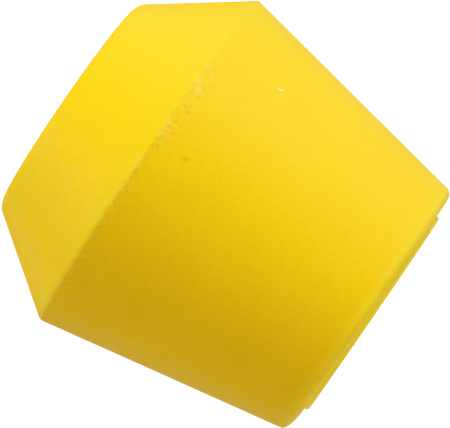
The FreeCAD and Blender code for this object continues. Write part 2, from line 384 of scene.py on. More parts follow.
def press_in(piece, name, depth, weight_of, direction="NORMAL", texture=None):
    """Pushes a piece's points in by up to depth, each as far as its weight says."""
    group = piece.vertex_groups.new(name=name)
    for point in piece.data.vertices:
        weight = weight_of(point.co)
        if weight > 0:
            group.add([point.index], min(1.0, weight), "REPLACE")
    change = piece.modifiers.new(name, "DISPLACE")
    change.vertex_group = name
    change.direction = direction
    change.mid_level = 0
    change.strength = -depth
    if texture:
        change.texture = texture
        change.texture_coords = "LOCAL"
    apply_modifiers(piece)
    piece.vertex_groups.clear()


def clouds(name, size):
    texture = bpy.data.textures.new(name, "CLOUDS")
    texture.noise_scale = size
    return texture


# ---- the marker's outline ---------------------------------------------------------------------
def shank_outside(z):
    return FOOT_R + (z - FOOT_Z) * TAPER


def shank_inside(z):
    return shank_outside(z) - SHANK_WALL


def crown_outside(z):
    return RIDGE_R - (z - RIDGE_Z) * BEVEL


def crown_inside(z):
    return crown_outside(z) - CROWN_WALL


MOUTH_R = shank_inside(LEDGE_Z) + LEDGE
SPIGOT_R = MOUTH_R - SPIGOT_GAP
SPIGOT_INNER_R = SPIGOT_R - SPIGOT_WALL
STRAIGHT_TOP_Z = JOINT_Z + (crown_inside(JOINT_Z) - SPIGOT_INNER_R) / BEVEL
ROOF_Z = TOP_Z - CROWN_ROOF


def azimuth(place):
    """Turn from the marker's front (-Y) towards +X, in radians."""
    return math.atan2(place.x, -place.y)


def skin_place(turn_deg, z):
    """A place on the outer skin, by its turn from the front and its height."""
    radius = shank_outside(z) if z < RIDGE_Z else crown_outside(z)
    turn = math.radians(turn_deg)
    return Vector((radius * math.sin(turn), -radius * math.cos(turn), z))


def wear_side(place):
    """1 on the side that is worn most, -X, down to 0 on the +X side."""
    return (1 - math.sin(azimuth(place))) / 2


# ---- crown ------------------------------------------------------------------------------------
def make_crown():
    """Bevelled cap with a seal groove and a snap bead on its spigot, a hub and six ribs."""
    piece = spin_section("crown", [
        (0, TOP_Z),
        *between((0, TOP_Z), (TOP_R, TOP_Z), 5),
        (TOP_R, TOP_Z),
        *between((TOP_R, TOP_Z), (JOINT_R, JOINT_Z), 9),
        (JOINT_R, JOINT_Z),
        (SPIGOT_R, JOINT_Z),
        (SPIGOT_R, SNAP_Z + SNAP_PROUD),
        (SPIGOT_R + SNAP_PROUD, SNAP_Z),
        (SPIGOT_R, SNAP_Z - SNAP_PROUD),
        (SPIGOT_R, CROWN_SEAL_Z + CROWN_SEAL_HALF),
        (SPIGOT_R - CROWN_SEAL_DEPTH, CROWN_SEAL_Z + CROWN_SEAL_HALF),
        (SPIGOT_R - CROWN_SEAL_DEPTH, CROWN_SEAL_Z - CROWN_SEAL_HALF),
        (SPIGOT_R, CROWN_SEAL_Z - CROWN_SEAL_HALF),
        (SPIGOT_R, SPIGOT_END_Z),
        (SPIGOT_INNER_R, SPIGOT_END_Z),
        (SPIGOT_INNER_R, STRAIGHT_TOP_Z),
        (crown_inside(ROOF_Z), ROOF_Z),
        (0, ROOF_Z),
    ])
    round_ring(piece, TOP_R, TOP_Z, setback(TOP_ROUND, 90 + BEVEL_DEG), 10)
    round_ring(piece, SPIGOT_R, SPIGOT_END_Z, SPIGOT_ROUND, 3)
    round_ring(piece, SPIGOT_INNER_R, SPIGOT_END_Z, SPIGOT_ROUND, 3)
    close_edit()
    press_in(piece, "uneven_skin", UNEVEN, crown_skin, texture=clouds("crown_waves", UNEVEN_SIZE))
    combine(piece, make_crown_ribs(), "UNION")
    return piece


def crown_skin(place):
    """1 on the crown's outer skin, fading out towards the joint."""
    if place.xy.length < crown_outside(place.z) - CROWN_SKIN_DEEP and place.z < TOP_Z - 1 * MM:
        return 0
    return smooth_step(place.z, JOINT_Z + 0.3 * MM, JOINT_Z + 2.5 * MM)


def make_crown_ribs():
    low_z = ROOF_Z - CROWN_RIB_DROP
    high_z = ROOF_Z + RIB_ROOT
    straight_r = SPIGOT_INNER_R + RIB_ROOT
    roof_r = crown_inside(ROOF_Z) + RIB_ROOT
    web = rod("crown_hub", HUB_R, low_z, high_z)
    outline = [
        (-straight_r, low_z),
        (straight_r, low_z),
        (straight_r, STRAIGHT_TOP_Z),
        (roof_r, ROOF_Z),
        (roof_r, high_z),
        (-roof_r, high_z),
        (-roof_r, ROOF_Z),
        (-straight_r, STRAIGHT_TOP_Z),
    ]
    for i in range(RIB_COUNT // 2):
        rib = around(slab("crown_rib", outline, RIB_T), [i * 360 / RIB_COUNT])
        combine(web, rib, "UNION")
    return web


# ---- shank ------------------------------------------------------------------------------------
def make_shank():
    """Tapered cup with a snap groove in its mouth, ribs, screw posts and a recess for the plug."""
    piece = spin_section("shank", [
        (RECESS_R, FOOT_Z),
        *between((RECESS_R, FOOT_Z), (FOOT_R - FOOT_RING_IN, FOOT_Z), 8),
        (FOOT_R - FOOT_RING_IN, FOOT_Z),
        (FOOT_R, FOOT_Z),
        *between((FOOT_R, FOOT_Z), (RIDGE_R, RIDGE_Z), 30),
        *[(shank_outside(RIDGE_Z - down * MM), RIDGE_Z - down * MM) for down in RIDGE_RINGS],
        (RIDGE_R, RIDGE_Z),
        *between((RIDGE_R, RIDGE_Z), (JOINT_R, JOINT_Z), 3),
        (JOINT_R, JOINT_Z),
        (MOUTH_R, JOINT_Z),
        (MOUTH_R, SNAP_Z + SNAP_PROUD + SNAP_GAP),
        (MOUTH_R + SNAP_PROUD + SNAP_GAP, SNAP_Z),
        (MOUTH_R, SNAP_Z - SNAP_PROUD - SNAP_GAP),
        (MOUTH_R, LEDGE_Z),
        (shank_inside(LEDGE_Z), LEDGE_Z),
        (shank_inside(FLOOR_TOP_Z), FLOOR_TOP_Z),
        (FLOOR_BORE_R, FLOOR_TOP_Z),
        (FLOOR_BORE_R, FLANGE_T),
        (RECESS_R, FLANGE_T),
    ], closed=True)
    round_ring(piece, FOOT_R, FOOT_Z, setback(FOOT_ROUND, 90 + TAPER_DEG), 12)
    round_ring(piece, RIDGE_R, RIDGE_Z, setback(RIDGE_ROUND, 180 - BEVEL_DEG - TAPER_DEG), 4)
    close_edit()
    press_in(piece, "worn_foot", -FOOT_WORN_RISE, foot_lift, direction="Z")
    press_in(piece, "worn_ridge", RIDGE_WORN_MOST, lambda place: ridge_wear(place) / RIDGE_WORN_MOST)
    press_in(piece, "uneven_skin", UNEVEN, shank_skin, texture=clouds("shank_waves", UNEVEN_SIZE))
    combine(piece, make_shank_insides(), "UNION")
    pilot = rod("pilot", PILOT_R, FLANGE_T - MM, SCREW_TOP_Z + SCREW_GAP, SCREW_PITCH_R)
    combine(piece, around(pilot, SCREW_ANGLES), "DIFFERENCE")
    combine(piece, make_pit_tool(), "DIFFERENCE")
    return piece


def foot_lift(place):
    """How far the worn foot stands above the even one, as a share of its rise."""
    height = place.z - FOOT_Z
    outer = shank_outside(FOOT_Z + FOOT_ROUND)
    if height > FOOT_ROUND or place.xy.length < outer - FOOT_WORN_ACROSS:
        return 0
    inward = min(1.0, (place.xy.length - outer + FOOT_WORN_ACROSS) / FOOT_WORN_ACROSS)
    worn = FOOT_WORN_RISE * (1 - math.sqrt(1 - inward * inward))
    share = wear_side(place) ** 1.5 * (1 + 0.2 * noise.noise(place * 250))
    return max(0.0, worn - height) * share / FOOT_WORN_RISE


def ridge_wear(place):
    """Depth of the ridge's rounding where it is worn."""
    if place.xy.length < shank_outside(place.z) - SHANK_SKIN_DEEP:
        return 0
    rise = place.z - RIDGE_Z
    along = rise / math.cos(math.radians(BEVEL_DEG)) if rise > 0 else -rise
    share = smooth_step(wear_side(place) + 0.2 * noise.noise(place * 150), 0.3, 0.95)
    rounding = RIDGE_ROUND + (RIDGE_WORN_ROUND - RIDGE_ROUND) * share
    inside = setback(rounding, 180 - BEVEL_DEG - TAPER_DEG) - along
    return max(0.0, inside) ** 2 / (2 * rounding)


def shank_skin(place):
    """1 on the shank's outer skin, fading out towards the pitted band and the foot."""
    if place.xy.length < shank_outside(place.z) - SHANK_SKIN_DEEP:
        return 0
    above_foot = smooth_step(place.z, FOOT_Z + 1 * MM, FOOT_Z + 3 * MM)
    return above_foot * smooth_step(RIDGE_Z - place.z, 5.5 * MM, 8 * MM)


def make_shank_insides():
    """Six ribs that lean with the wall, and a closed post over each screw."""
    low_z = FLOOR_TOP_Z - RIB_ROOT
    high_z = LEDGE_Z - SHANK_RIB_DROP
    rib = slab("shank_rib", [
        (shank_inside(low_z) - SHANK_RIB_REACH, low_z),
        (shank_inside(low_z) + RIB_ROOT, low_z),
        (shank_inside(high_z) + RIB_ROOT, high_z),
        (shank_inside(high_z) - SHANK_RIB_REACH / 2, high_z),
    ], RIB_T)
    ribs = around(rib, [i * 360 / RIB_COUNT for i in range(RIB_COUNT)])
    post = rod("screw_post", POST_R, low_z, POST_TOP_Z, SCREW_PITCH_R, edge=POST_EDGE)
    choose(ribs, around(post, SCREW_ANGLES))
    bpy.ops.object.join()
    return ribs


# how many pits, between which turns from the front, and how far below the ridge at most, in mm
PITS = (
    (75, 6, 38, 1.9),
    (45, -29, 50, 0.9),
    (18, -29, 50, 5.0),
    (90, 50, 331, 1.2),
    (24, 50, 331, 5.0),
)
PIT_NEAREST = 0.15  # to the ridge, in mm
PIT_LEAST = 0.25  # across, in mm
PIT_MOST = 0.75
PIT_SPACING = 0.03  # least skin left between two pits, in mm
PIT_REACH = 0.7  # from its middle, as a share of its width
PIT_CROWDING = 1.3  # above 1, more of them lie near the ridge
PIT_SMALLNESS = 1.7  # above 1, more of them are small


def pit_places():
    """Where the pits are: (turn, height, width in mm), none touching another."""
    draw = random.Random(7)
    places = []
    for count, first, last, deepest in PITS:
        for _ in range(count):
            turn = draw.uniform(first, last)
            down = PIT_NEAREST + (deepest - PIT_NEAREST) * draw.random() ** PIT_CROWDING
            width = PIT_LEAST + (PIT_MOST - PIT_LEAST) * draw.random() ** PIT_SMALLNESS
            height = RIDGE_Z - down * MM
            middle = skin_place(turn, height)
            clear = all(
                (middle - skin_place(other[0], other[1])).length
                > ((width + other[2]) * PIT_REACH + PIT_SPACING) * MM
                for other in places
            )
            if clear:
                places.append((turn, height, width))
    return places


def make_pit_tool():
    """Shallow uneven lenses laid on the skin, that leave the pits."""
    lens = spin_section("pit_lens", [
        (0, -0.10),
        (0.20, -0.085),
        (0.38, -0.04),
        (0.50, 0.0),
        (0.62, 0.06),
        (0.62, 0.4),
        (0, 0.4),
    ], steps=12)
    bpy.ops.mesh.select_all(action="SELECT")
    bpy.ops.transform.vertex_random(offset=0.035, seed=4)
    close_edit()
    draw = random.Random(23)
    lean = math.radians(TAPER_DEG)
    lenses = []
    for turn, height, width in pit_places():
        place = skin_place(turn, height)
        outward = Vector((place.x, place.y, 0)).normalized() * math.cos(lean)
        outward.z = -math.sin(lean)
        spin = Matrix.Rotation(draw.uniform(0, 2 * math.pi), 4, "Z")
        wide, high = [width * MM * draw.uniform(0.8, 1.3) for _ in range(2)]
        copy = copy_of(lens)
        copy.matrix_world = (
            Matrix.Translation(place)
            @ outward.to_track_quat("Z", "Y").to_matrix().to_4x4()
            @ Matrix.Diagonal((wide, high, width * MM, 1))
            @ spin
        )
        lenses.append(copy)
    bpy.data.objects.remove(lens)
    choose(*lenses)
    bpy.ops.object.transform_apply(location=True, rotation=True, scale=True)
    bpy.ops.object.join()
    return lenses[0]


# ---- base plug, screws and anchor thread ------------------------------------------------------
def make_plug():
    """Flanged bush with its two seal grooves, three countersunk holes and three pockets."""
    piece = spin_section("seat_plug", [
        (BARREL_HOLE_R, 0),
        (SEAT_R, 0),
        (SEAT_R, FLANGE_T),
        (PLUG_R, FLANGE_T),
        (PLUG_R, PLUG_SEAL_Z - PLUG_SEAL_HALF),
        (PLUG_R - PLUG_SEAL_DEPTH, PLUG_SEAL_Z - PLUG_SEAL_HALF),
        (PLUG_R - PLUG_SEAL_DEPTH, PLUG_SEAL_Z + PLUG_SEAL_HALF),
        (PLUG_R, PLUG_SEAL_Z + PLUG_SEAL_HALF),
        (PLUG_R, FLOOR_TOP_Z),
        (BARREL_HOLE_R, FLOOR_TOP_Z),
        (BARREL_HOLE_R, INSERT_SEAL_Z + INSERT_SEAL_HALF),
        (BARREL_HOLE_R + INSERT_SEAL_DEPTH, INSERT_SEAL_Z + INSERT_SEAL_HALF),
        (BARREL_HOLE_R + INSERT_SEAL_DEPTH, INSERT_SEAL_Z - INSERT_SEAL_HALF),
        (BARREL_HOLE_R, INSERT_SEAL_Z - INSERT_SEAL_HALF),
    ], closed=True)
    round_ring(piece, SEAT_R, 0, SEAT_ROUND, 6)
    close_edit()
    combine(piece, around(make_countersink(), SCREW_ANGLES), "DIFFERENCE")
    combine(piece, around(make_pocket_tool(), BETWEEN_SCREWS), "DIFFERENCE")
    return piece


def make_countersink():
    """What a screw's head and shaft leave open in the flange."""
    head_r = SCREW_HEAD_R + SCREW_GAP
    piece = spin_section("countersink", [
        (0, -MM),
        (head_r, -MM),
        (head_r, SCREW_LOW_Z),
        (PILOT_R, SCREW_LOW_Z + head_r - PILOT_R),
        (PILOT_R, FLANGE_T + MM),
        (0, FLANGE_T + MM),
    ], steps=64)
    return moved_out(piece)


def moved_out(piece):
    """Takes a piece made on the axis out to the screws' circle."""
    bpy.ops.mesh.select_all(action="SELECT")
    bpy.ops.transform.translate(value=(SCREW_PITCH_R, 0, 0))
    close_edit()
    return piece


def make_pocket_tool():
    """A curved block with rounded upright corners, centred on the X axis."""
    half = math.radians(POCKET_DEG) / 2
    piece = draw_section("pocket_tool", [
        (POCKET_INNER_R, -MM),
        (POCKET_OUTER_R, -MM),
        (POCKET_OUTER_R, POCKET_DEPTH),
        (POCKET_INNER_R, POCKET_DEPTH),
    ], True)
    bpy.ops.mesh.edge_face_add()
    bpy.ops.mesh.spin(steps=32, angle=2 * half, center=(0, 0, 0), axis=(0, 0, 1))
    close_surface()
    mesh = bmesh.from_edit_mesh(piece.data)
    spun_to = max(math.atan2(point.co.y, point.co.x) for point in mesh.verts)
    bmesh.ops.rotate(
        mesh, verts=mesh.verts, cent=(0, 0, 0), matrix=Matrix.Rotation(half - spun_to, 3, "Z")
    )
    bmesh.update_edit_mesh(piece.data)

    def upright_corner(edge):
        first, last = edge.verts
        turn = abs(math.atan2(first.co.y, first.co.x))
        return abs(first.co.z - last.co.z) > POCKET_DEPTH and abs(turn - half) < 0.001
    select_where(piece, "EDGE", upright_corner)
    bpy.ops.mesh.bevel(offset=POCKET_ROUND, segments=5, profile=0.5, affect="EDGES")
    close_edit()
    return piece


def make_thread_tool(name, root, tip, pitch, low_z, high_z):
    """The helical V that cuts a thread, from its root's radius to its tip's."""
    slope = math.tan(math.radians(THREAD_FLANK_DEG)) * abs(tip - root)
    flat = pitch / 8
    piece = draw_section(name, [
        (root, low_z - flat / 2 - slope),
        (tip, low_z - flat / 2),
        (tip, low_z + flat / 2),
        (root, low_z + flat / 2 + slope),
    ], True)
    close_edit()
    helix = piece.modifiers.new("helix", "SCREW")
    helix.screw_offset = pitch
    helix.iterations = int((high_z - low_z) / pitch)
    helix.steps = THREAD_STEPS
    helix.render_steps = THREAD_STEPS
    apply_modifiers(piece)
    open_edit(piece)
    bpy.ops.mesh.select_all(action="SELECT")
    bpy.ops.mesh.remove_doubles(threshold=WELD)
    bpy.ops.mesh.select_all(action="SELECT")
    bpy.ops.mesh.fill_holes(sides=8)
    close_surface()
    close_edit()
    return piece


def make_screws():
    """Three countersunk plug screws with a cross recess and a coarse thread."""
    neck_z = SCREW_LOW_Z + SCREW_HEAD_R - SCREW_R
    piece = spin_section("seat_screws", [
        (0, SCREW_LOW_Z),
        (SCREW_HEAD_R, SCREW_LOW_Z),
        (SCREW_R, neck_z),
        (SCREW_R, SCREW_TOP_Z - SCREW_R),
        (SCREW_TIP_R, SCREW_TOP_Z),
        (0, SCREW_TOP_Z),
    ], steps=48)
    round_ring(piece, SCREW_HEAD_R, SCREW_LOW_Z, SCREW_HEAD_EDGE, 3)
    close_edit()
    for angle in (0, 90):
        half = CROSS_LEN / 2
        arm = slab("cross_arm", [
            (-half, SCREW_LOW_Z - MM),
            (half, SCREW_LOW_Z - MM),
            (half * CROSS_TAPER, SCREW_LOW_Z + CROSS_DEPTH),
            (-half * CROSS_TAPER, SCREW_LOW_Z + CROSS_DEPTH),
        ], CROSS_W)
        combine(piece, around(arm, [angle]), "DIFFERENCE")
    thread = make_thread_tool(
        "screw_thread", SCREW_R + THREAD_OVERCUT, SCREW_R - SCREW_THREAD_DEPTH, SCREW_THREAD,
        neck_z, SCREW_TOP_Z - SCREW_R,
    )
    combine(piece, thread, "DIFFERENCE")
    open_edit(piece)
    moved_out(piece)
    return around(piece, SCREW_ANGLES)


def make_anchor():
    """The CAD insert, with its thread cut in the bore."""
    piece = named(copy_of(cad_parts["anchor_insert"]), "anchor_nut")
    open_edit(piece)
    bpy.ops.mesh.select_all(action="SELECT")
    bpy.ops.mesh.remove_doubles(threshold=WELD)
    close_edit()
    tool = make_thread_tool(
        "anchor_thread", THREAD_BORE_R - THREAD_OVERCUT, THREAD_R - THREAD_SHORT, THREAD_PITCH,
        insert_low.z - THREAD_LEAD, THREAD_TOP_Z - THREAD_PITCH,
    )
    combine(piece, tool, "DIFFERENCE")
    return piece


# ---- materials --------------------------------------------------------------------------------
def new_finish(name):
    finish = bpy.data.materials.new(name)
    finish.use_nodes = True
    tree = finish.node_tree
    return finish, tree, tree.nodes["Principled BSDF"]


def node(tree, kind, inputs, **settings):
    """A new node, its inputs given as plain values or as other nodes' outputs."""
    made = tree.nodes.new("ShaderNode" + kind)
    for name, value in settings.items():
        setattr(made, name, value)
    for key, value in inputs.items():
        if isinstance(value, bpy.types.NodeSocket):
            tree.links.new(value, made.inputs[key])
        else:
            made.inputs[key].default_value = value
    return made


def calc(tree, operation, first, second=0.0):
    return node(tree, "Math", {0: first, 1: second}, operation=operation).outputs[0]


def product(tree, first, *others):
    """All the values multiplied together."""
    for other in others:
        first = calc(tree, "MULTIPLY", first, other)
    return first


def scaled(tree, value, factor, plus):
    spread = {0: value, 1: factor, 2: plus}
    return node(tree, "Math", spread, operation="MULTIPLY_ADD").outputs[0]


def fade(tree, value, start, end, low=0.0, high=1.0):
    """Runs smoothly from low at start to high at end."""
    spread = {"Value": value, "From Min": start, "From Max": end, "To Min": low, "To Max": high}
    return node(tree, "MapRange", spread, interpolation_type="SMOOTHSTEP").outputs["Result"]


def band(tree, value, start, full, full_until, end):
    """1 from full to full_until, fading to 0 at start and at end."""
    return product(tree, fade(tree, value, start, full), fade(tree, value, end, full_until))


def grain(tree, place, size, detail=2.0, stretch=None):
    """Noise whose lumps are about that size."""
    if stretch:
        place = node(tree, "Mapping", {"Vector": place, "Scale": stretch}).outputs["Vector"]
    return node(tree, "TexNoise", {"Vector": place, "Scale": 1 / size, "Detail": detail}).outputs["Fac"]


def cells(tree, place, size):
    """Noise in cells about that size: how far a point is from its cell's middle."""
    return node(tree, "TexVoronoi", {"Vector": place, "Scale": 1 / size}).outputs["Distance"]


def vector_calc(tree, operation, first, second):
    return node(tree, "VectorMath", {0: first, 1: second}, operation=operation).outputs


def distance_to(tree, place, target):
    return vector_calc(tree, "DISTANCE", place, target)["Value"]


def mixed(tree, factor, first, second, blend="MIX"):
    return node(
        tree, "MixRGB", {"Fac": factor, "Color1": first, "Color2": second}, blend_type=blend
    ).outputs["Color"]


def lit_by(tree, colour, value, low, high):
    """Colour made darker or brighter as a noise value runs from 0.3 to 0.7."""
    shade = fade(tree, value, 0.3, 0.7, low, high)
    grey = node(tree, "CombineColor", {"Red": shade, "Green": shade, "Blue": shade}).outputs["Color"]
    return mixed(tree, 1.0, colour, grey, "MULTIPLY")


def bumps(tree, shader, height, depth):
    bump = node(tree, "Bump", {"Height": height, "Distance": depth, "Strength": 1.0})
    tree.links.new(bump.outputs["Normal"], shader.inputs["Normal"])


YELLOW = (0.92, 0.548, 0.001, 1)
ORANGE = (0.95, 0.41, 0.0, 1)
DEEP = (0.94, 0.47, 0.0, 1)
GREENISH = (0.80, 0.60, 0.0, 1)
OLIVE = (0.70, 0.42, 0.0, 1)
DIRT = (0.30, 0.20, 0.01, 1)
PALE = (0.95, 0.80, 0.28, 1)
RUBBED_AND_HIGHLIT = (0.92, 0.80, 0.14, 1)
FLECK_COLOUR = (1.0, 0.82, 0.58, 1)

# tints, which multiply the colour: a painted glow above the ridge, and painted bounce light on the
# foot, the seat and the crease between them
# painted glow: the plastic made a little greener just above the ridge, as of light through its edge
RIDGE_GLOW_TINT = (0.93, 1.01, 1.0, 1)
FOOT_LIGHT_TINT = (1.03, 1.13, 1.0, 1)
FOOT_LIGHT_TINT_RIGHT = (0.95, 1.03, 1.0, 1)
SEAT_LIGHT_TINT = (1.12, 1.20, 1.2, 1)
CREASE_LIGHT_TINT = (1.10, 1.20, 1.0, 1)

# how strongly each layer of the plastic's looks shows, from 0 to 1
# painted sheen: how pale the lit +X side is made
SIDE_SHEEN = 0.06
# painted bounce light: how pale the foot and the seat are made
FOOT_PAINTED_LIGHT = 0.03
SEAT_PAINTED_LIGHT = 0.05
FLOW_LINES = 0.025
# the ridge line: real wear and a painted highlight
RUB_AND_HIGHLIGHT_LEAST = 0.05
RUB_AND_HIGHLIGHT_MOST = 0.3
# painted shade: how much deeper the colour is down in the pits
PIT_SHADE = 0.45
# painted highlight on the bubble walls and painted shade in their hollows
BUBBLE_WALL_HIGHLIGHT = 0.05
BUBBLE_HOLLOW_SHADE = 0.6
PRICKS = 0.45
FLECK_STRENGTH = 0.9
PLASTIC_SPECULAR = 0.06
PLASTIC_BUMP = 0.035 * MM

BUBBLE = 0.66 * MM  # across
PRICK_SPACING = 1.1 * MM

# small marks on the skin: turn from the front, height and width in mm, colour, strength; DEEP rows just
# under the ridge are painted shade in dimples, PALE rows by the ridge are painted glints, the rest
# stains and specks
MARKS = (
    (6.2, 30.45, 0.80, ORANGE, 1.0),
    (13.3, 23.2, 0.55, DEEP, 0.9),
    (18.0, 25.5, 0.50, DEEP, 0.5),
    (-10.0, 23.0, 0.45, DEEP, 0.4),
    (47.5, 34.4, 0.40, ORANGE, 0.4),
    (66.8, 47.1, 0.22, DIRT, 0.6),
    (-11.8, 46.4, 0.20, DIRT, 0.6),
    (20.5, 35.5, 0.20, DIRT, 0.45),
    (-65.0, 34.1, 0.20, DIRT, 0.5),
    (-16.9, 23.2, 0.16, DIRT, 0.35),
    (63.0, 1.25, 0.55, GREENISH, 0.6),
    (34, 34.0, 0.50, DEEP, 0.75),
    (31, 34.0, 0.50, DEEP, 0.7),
    (27, 33.6, 0.50, DEEP, 0.7),
    (19, 34.2, 0.55, DEEP, 0.7),
    (15.5, 34.3, 0.50, DEEP, 0.7),
    (18.5, 33.0, 0.35, DEEP, 0.6),
    (11.5, 34.5, 0.45, DEEP, 0.6),
    (4, 34.9, 0.50, DEEP, 0.6),
    (0.5, 34.6, 0.55, DEEP, 0.7),
    (-4.5, 34.8, 0.50, DEEP, 0.6),
    (-9, 34.6, 0.45, DEEP, 0.5),
    (-14, 34.5, 0.50, DEEP, 0.5),
    (34.3, 35.3, 0.45, PALE, 0.4),
    (34.5, 34.6, 0.50, PALE, 0.25),
    (27.6, 34.8, 0.95, PALE, 0.3),
    (25.5, 34.1, 1.05, PALE, 0.35),
    (12.3, 34.7, 0.45, PALE, 0.5),
    (10.3, 34.8, 0.60, PALE, 0.25),
    (8.3, 34.9, 0.60, PALE, 0.35),
    (23.4, 29.2, 0.16, PALE, 0.5),
)
FLECK = (45.9, 25.82)  # a curved pale fleck: its turn and height in mm
FLECK_BEND = (2.5, 0.62)  # from there to the middle of its circle: turn, and rise in mm
FLECK_R = 1.25 * MM
FLECK_W = 0.075 * MM


def mottled(tree, place):
    """The plain colour with soft clouds, fine grain and faint streaks round the marker."""
    colour = lit_by(tree, YELLOW, grain(tree, place, 6 * MM, 3), 0.99, 1.01)
    colour = lit_by(tree, colour, grain(tree, place, 0.28 * MM, 3), 0.965, 1.035)
    streaks = grain(tree, place, 9 * MM, 4, stretch=(0.35, 0.35, 9))
    return lit_by(tree, colour, streaks, 0.992, 1.008)


def painted_sheen_and_glow(tree, x, height, colour):
    """Painted sheen, paler on the lit +X side, and a painted glow, a little greener just above the
    ridge.
    """
    colour = mixed(tree, fade(tree, x, 0, 16 * MM, 0.0, SIDE_SHEEN), colour, PALE)
    # painted glow just above the ridge, as of light through the plastic's edge
    above_ridge = band(
        tree, height,
        RIDGE_Z - 0.05 * MM, RIDGE_Z + 0.1 * MM, RIDGE_Z + 0.5 * MM, RIDGE_Z + 3.0 * MM,
    )
    return mixed(tree, above_ridge, colour, RIDGE_GLOW_TINT, "MULTIPLY")


def painted_foot_light(tree, x, height, colour):
    """Painted bounce light from below: paler round the foot, most on the -X side, paler still on the
    proud seat and in the crease between them, lifting the shade under the foot's overhang.
    """
    foot = fade(tree, height, FOOT_Z + 2.3 * MM, FOOT_Z + 0.8 * MM)
    tint = mixed(tree, fade(tree, x, -1 * MM, 9 * MM), FOOT_LIGHT_TINT, FOOT_LIGHT_TINT_RIGHT)
    colour = mixed(tree, foot, colour, tint, "MULTIPLY")
    colour = mixed(tree, product(tree, foot, FOOT_PAINTED_LIGHT), colour, PALE)
    seat = fade(tree, height, FOOT_Z + 0.05 * MM, FOOT_Z - 0.05 * MM)
    colour = mixed(tree, seat, colour, SEAT_LIGHT_TINT, "MULTIPLY")
    colour = mixed(tree, product(tree, seat, SEAT_PAINTED_LIGHT), colour, PALE)
    # painted light in the crease, where the foot's overhang shades it
    crease = band(
        tree, height,
        FOOT_Z - 0.42 * MM, FOOT_Z - 0.22 * MM, FOOT_Z + 0.1 * MM, FOOT_Z + 0.35 * MM,
    )
    return mixed(tree, crease, colour, CREASE_LIGHT_TINT, "MULTIPLY")


def flow_lined(tree, place, x, height, colour):
    """Faint flow lines round the lower front."""
    lower = band(tree, height, 5.2 * MM, 6.2 * MM, 8.6 * MM, 10 * MM)
    front = fade(tree, x, -12 * MM, -6 * MM)
    lines = fade(tree, grain(tree, place, 4 * MM, 4, stretch=(1, 1, 10)), 0.5, 0.66)
    return mixed(tree, product(tree, lower, front, lines, FLOW_LINES), colour, PALE)


def ridge_rub_and_highlight(tree, place, x, height):
    """How much the ridge is worn pale and painted with a highlight on its rounding: a thin broken line,
    strongest on the -X side.
    """
    wander = fade(tree, grain(tree, place, 1.8 * MM, 4), 0.3, 0.7, -0.14 * MM, 0.14 * MM)
    wandering = calc(tree, "ADD", height, wander)
    off_ridge = calc(tree, "ABSOLUTE", calc(tree, "SUBTRACT", wandering, RIDGE_Z))
    line = fade(tree, off_ridge, 0.16 * MM, 0.04 * MM)
    patches = grain(tree, place, 1.1 * MM, 3)
    broken = fade(tree, patches, 0.42, 0.64, RUB_AND_HIGHLIGHT_LEAST, RUB_AND_HIGHLIGHT_MOST)
    return product(tree, line, broken, fade(tree, x, 9 * MM, -3 * MM, 0.15, 1.0))


def pit_shade_share(tree, x, y, height):
    """Painted shade in the pits: how far down in a pit a point is, by its depth below the shank's skin.
    """
    flat_place = node(tree, "CombineXYZ", {"X": x, "Y": y}).outputs["Vector"]
    radius = node(tree, "VectorMath", {0: flat_place}, operation="LENGTH").outputs["Value"]
    skin = scaled(tree, height, TAPER, FOOT_R - FOOT_Z * TAPER)
    deep = fade(tree, calc(tree, "SUBTRACT", skin, radius), 0.022 * MM, 0.045 * MM)
    pitted = band(
        tree, height,
        RIDGE_Z - 5.5 * MM, RIDGE_Z - 5.2 * MM, RIDGE_Z - 0.25 * MM, RIDGE_Z - 0.1 * MM,
    )
    return product(tree, deep, pitted, PIT_SHADE)


def froth_share(tree, place, x, height):
    """Where fine bubbles froth: patches in a band under the ridge, deepest amid the pits."""
    down = calc(tree, "SUBTRACT", RIDGE_Z, height)
    amid_pits = band(tree, x, 0, 4 * MM, 14 * MM, 18 * MM)
    depth = scaled(tree, amid_pits, 1.5 * MM, 1.0 * MM)
    froth = calc(tree, "SUBTRACT", 1.0, calc(tree, "DIVIDE", down, depth))
    below_ridge = fade(tree, down, -0.1 * MM, 0.1 * MM)
    patches = fade(tree, grain(tree, place, 1.4 * MM, 2), 0.34, 0.52)
    return product(tree, fade(tree, froth, 0.0, 0.7), below_ridge, patches)


def bubble_highlight_and_shade(tree, froth, bubbles, colour):
    """Painted highlight on the bubbles' pale walls and painted shade in their deep-coloured hollows."""
    walls = fade(tree, bubbles, 0.25, 0.6)
    hollows = fade(tree, bubbles, 0.45, 0.1)
    colour = mixed(tree, product(tree, froth, walls, BUBBLE_WALL_HIGHLIGHT), colour, PALE)
    return mixed(tree, product(tree, froth, hollows, BUBBLE_HOLLOW_SHADE), colour, DEEP)


def pricked(tree, place, x, colour):
    """Pinpricks scattered over the +X side of the skin."""
    prick = fade(tree, cells(tree, place, PRICK_SPACING), 0.16, 0.07, 0.0, PRICKS)
    side = fade(tree, x, -2 * MM, 8 * MM)
    patches = fade(tree, grain(tree, place, 3 * MM, 2), 0.42, 0.58)
    return mixed(tree, product(tree, prick, side, patches), colour, OLIVE)


